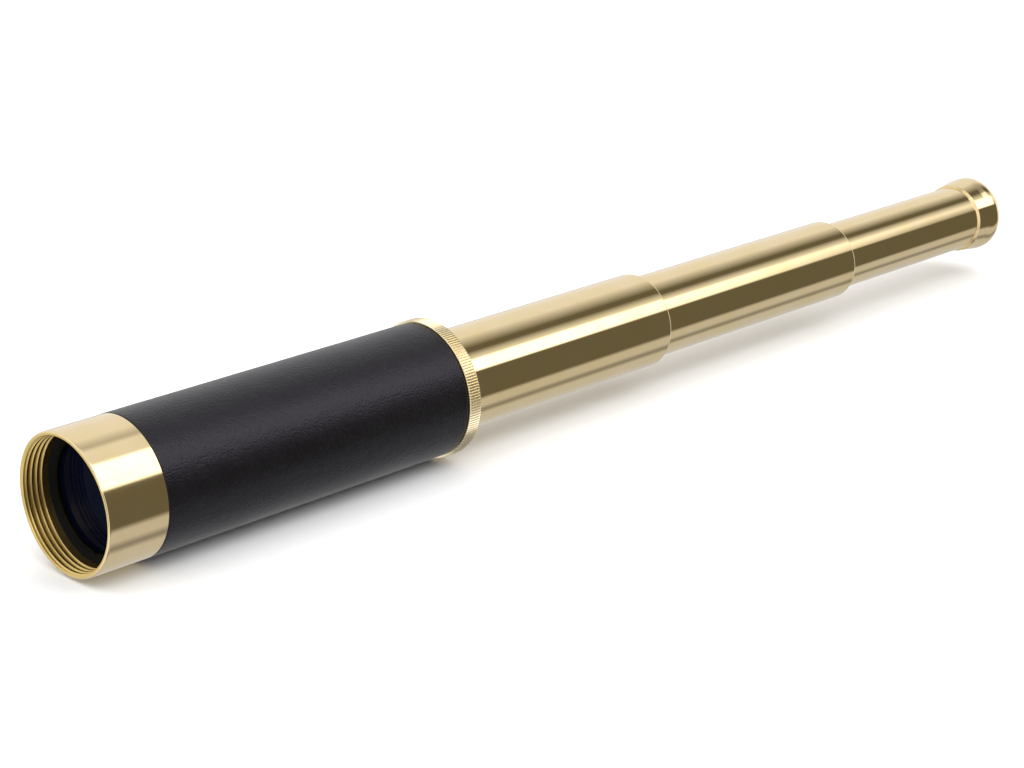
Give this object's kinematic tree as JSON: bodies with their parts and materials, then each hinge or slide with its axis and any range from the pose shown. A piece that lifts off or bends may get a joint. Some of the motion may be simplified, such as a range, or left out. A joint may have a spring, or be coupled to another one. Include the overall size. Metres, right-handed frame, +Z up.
{
  "type": "draw-tube spyglass",
  "caption": "Pocket spyglass: a leather-covered barrel with a threaded brass mouth and brass draw tubes that slide out to a domed eyecap.",
  "frame": {"origin": "centre of the mouth rim, on the optical axis", "axes": "+X along the optical axis from the mouth to the eyepiece, +Z up as the glass lies on its side; the draws are fully out"},
  "size_m": [0.3694, 0.0382, 0.0382],
  "materials": {
    "polished_brass": "polished and lacquered pale brass",
    "turned_brass": "plain turned brass, unpolished",
    "black_leather": "fine-grained black leather, low sheen",
    "black_metal": "matt black anodised",
    "black_felt": "dense black felt",
    "coated_glass": "polished glass with a dark blue anti-reflection coating",
    "clear_glass": "polished optical glass"
  },
  "bodies": {
    "barrel": {"objective_ring": "polished_brass", "barrel_tube": "turned_brass", "leather_sleeve": "black_leather", "knurled_ring": "polished_brass", "barrel_friction_sleeve": "black_felt", "lens_cell": "black_metal", "crown_lens": "coated_glass", "flint_lens": "clear_glass", "objective_retainer": "black_metal"},
    "draw_1": {"draw_tube_1": "polished_brass", "stop_collar_1": "turned_brass", "baffle_1": "black_metal", "draw_1_sleeve_keeper": "turned_brass", "draw_1_friction_sleeve": "black_felt"},
    "draw_2": {"draw_tube_2": "polished_brass", "stop_collar_2": "turned_brass", "baffle_2": "black_metal", "draw_2_sleeve_keeper": "turned_brass", "draw_2_friction_sleeve": "black_felt"},
    "draw_3": {"draw_tube_3": "polished_brass", "stop_collar_3": "turned_brass", "erector_tube": "black_metal", "erector_stop": "black_metal", "front_erector_lens": "clear_glass", "rear_erector_lens": "clear_glass", "front_erector_retainer": "black_metal", "rear_erector_retainer": "black_metal", "eyepiece_cell": "black_metal", "field_lens": "clear_glass", "field_lens_retainer": "black_metal", "field_stop": "black_metal", "eye_lens": "clear_glass", "eye_lens_retainer": "black_metal", "eyecap": "polished_brass"}
  },
  "joints": [
    {"name": "draw_1_slide", "type": "slide", "parent": "barrel", "child": "draw_1", "axis": [-1, 0, 0], "range_m": [0, 0.0785]},
    {"name": "draw_2_slide", "type": "slide", "parent": "draw_1", "child": "draw_2", "axis": [-1, 0, 0], "range_m": [0, 0.085]},
    {"name": "draw_3_slide", "type": "slide", "parent": "draw_2", "child": "draw_3", "axis": [-1, 0, 0], "range_m": [0, 0.0672]}
  ]
}
